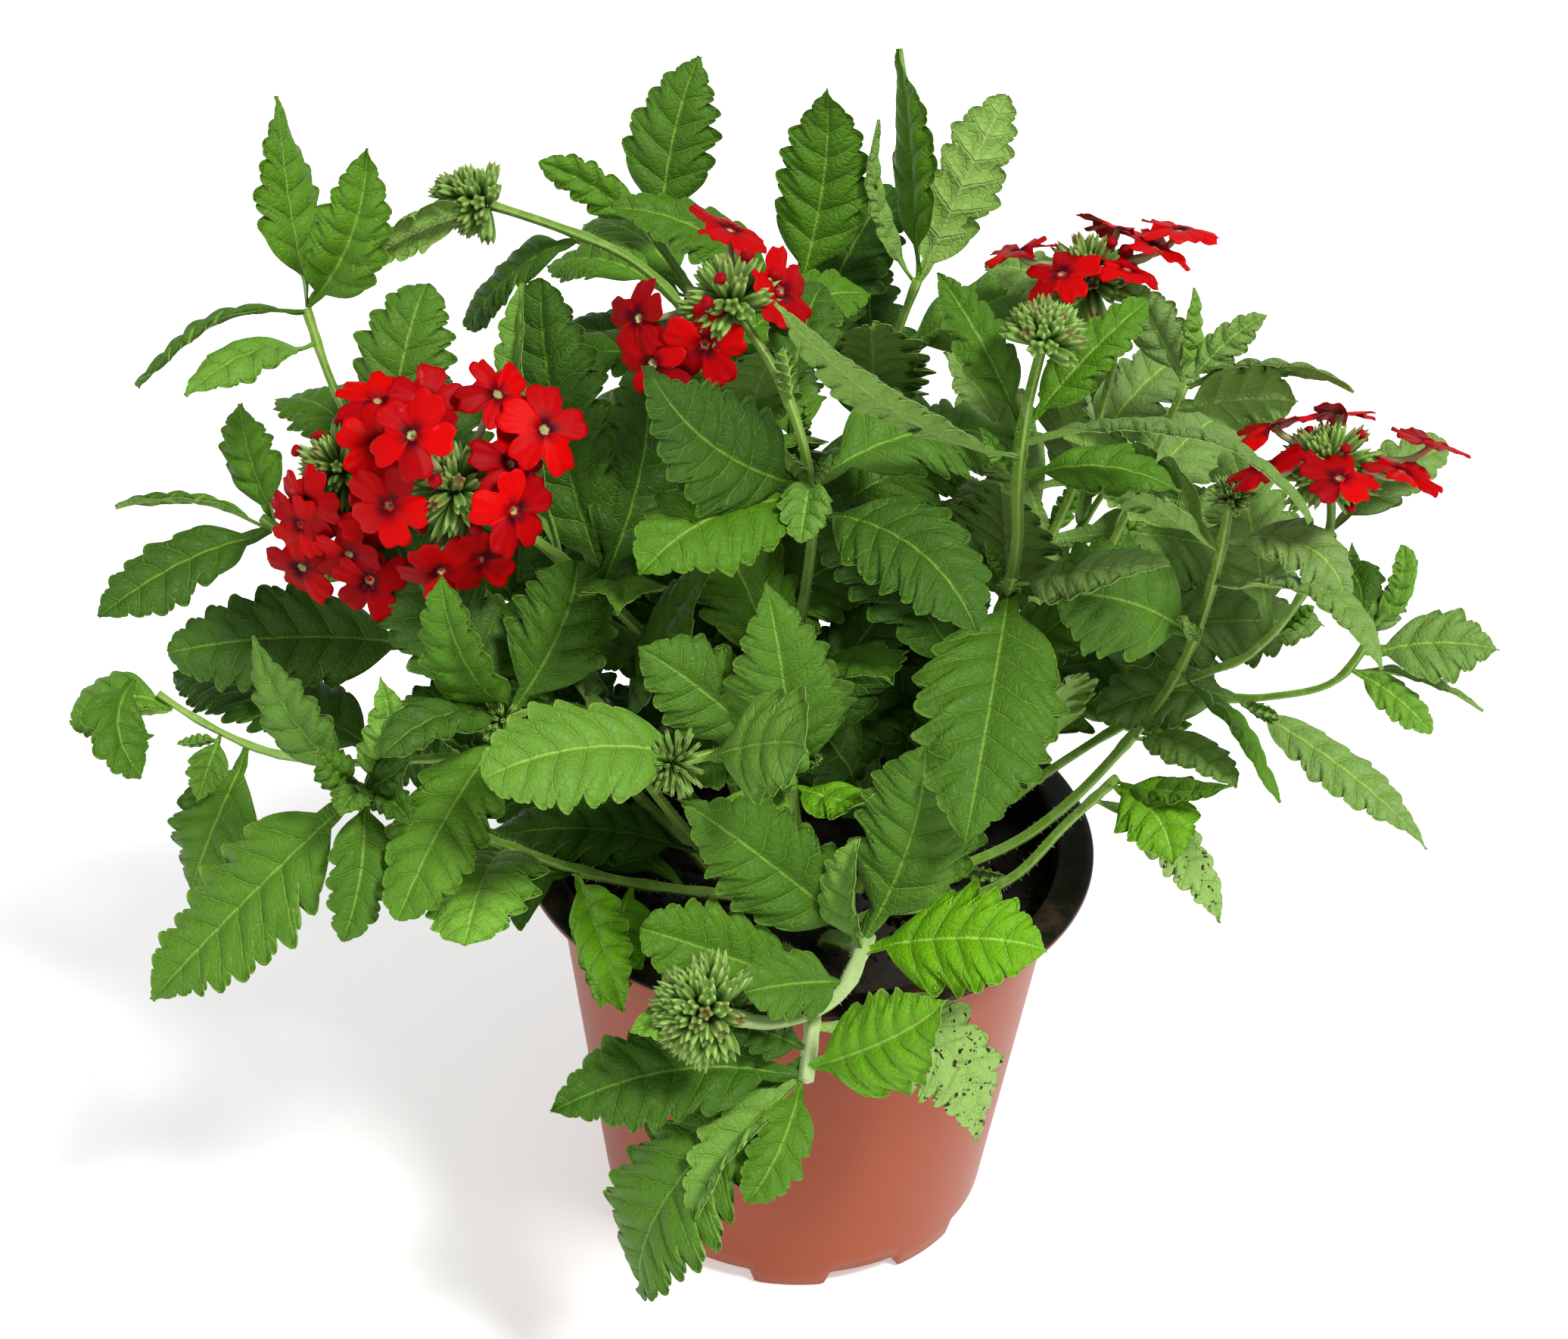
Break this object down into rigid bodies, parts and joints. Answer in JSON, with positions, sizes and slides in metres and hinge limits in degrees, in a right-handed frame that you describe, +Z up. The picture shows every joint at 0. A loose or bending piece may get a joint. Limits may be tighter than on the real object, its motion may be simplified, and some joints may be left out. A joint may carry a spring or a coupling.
{
  "type": "potted verbena",
  "caption": "Flowering verbena with toothed leaves and red flower heads, growing in soil in a round tapered plastic nursery pot.",
  "frame": {"origin": "middle of the underside of the pot, on the surface that it stands on", "axes": "+Z up along the axis of the pot; +X to the right and +Y to the back as the plant is usually shown"},
  "size_m": [0.2785, 0.1735, 0.2383],
  "materials": {
    "pot": "satin",
    "soil": "rough, crumbly, matte",
    "stem": "finely hairy, satin",
    "leaf": "veined and quilted, satin, finely hairy",
    "bud": "hairy, matte",
    "petal": "velvety"
  },
  "bodies": {
    "root": {"pot": "pot", "soil": "soil", "stem_left_high": "stem", "stem_left_mid": "stem", "stem_left_low": "stem", "stem_far_left": "stem", "stem_left_centre": "stem", "stem_head_a": "stem", "stem_head_b": "stem", "stem_bud_top_left": "stem", "stem_head_c": "stem", "stem_back_left": "stem", "stem_back": "stem", "stem_back_right": "stem", "stem_bud_dome": "stem", "stem_head_d": "stem", "stem_right_high": "stem", "stem_right_mid": "stem", "stem_head_e": "stem", "stem_far_right": "stem", "stem_right_low": "stem", "stem_centre_low": "stem", "stem_front": "stem", "stem_front_low": "stem", "stem_back_low": "stem", "stem_back_side": "stem", "leaf_left_spire": "leaf", "leaf_left_droop": "leaf", "leaf_left_upright": "leaf", "leaf_left_spotted": "leaf", "leaf_left_broad": "leaf", "leaf_left_low": "leaf", "leaf_far_left_hanging": "leaf", "leaf_left_centre_low": "leaf", "leaf_centre_tall": "leaf", "leaf_centre_right": "leaf", "leaf_dome_left": "leaf", "leaf_dome_right": "leaf", "leaf_dome_low": "leaf", "leaf_back_left": "leaf", "leaf_back_top": "leaf", "leaf_back_pale": "leaf", "leaf_right_mid": "leaf", "leaf_far_right": "leaf", "leaf_right_stalked": "leaf", "leaf_right_low": "leaf", "leaf_front_right": "leaf", "leaf_front_left": "leaf", "leaf_front_hanging": "leaf", "flower_head_left": "petal", "flower_head_far_left": "petal", "flower_head_top": "petal", "flower_head_back_right": "petal", "flower_head_right": "petal", "bud_head_top_left": "bud", "bud_head_dome": "bud", "bud_tip_right": "bud", "bud_tuft_left": "bud", "bud_tuft_centre": "bud", "bud_head_front": "bud"}
  },
  "joints": []
}
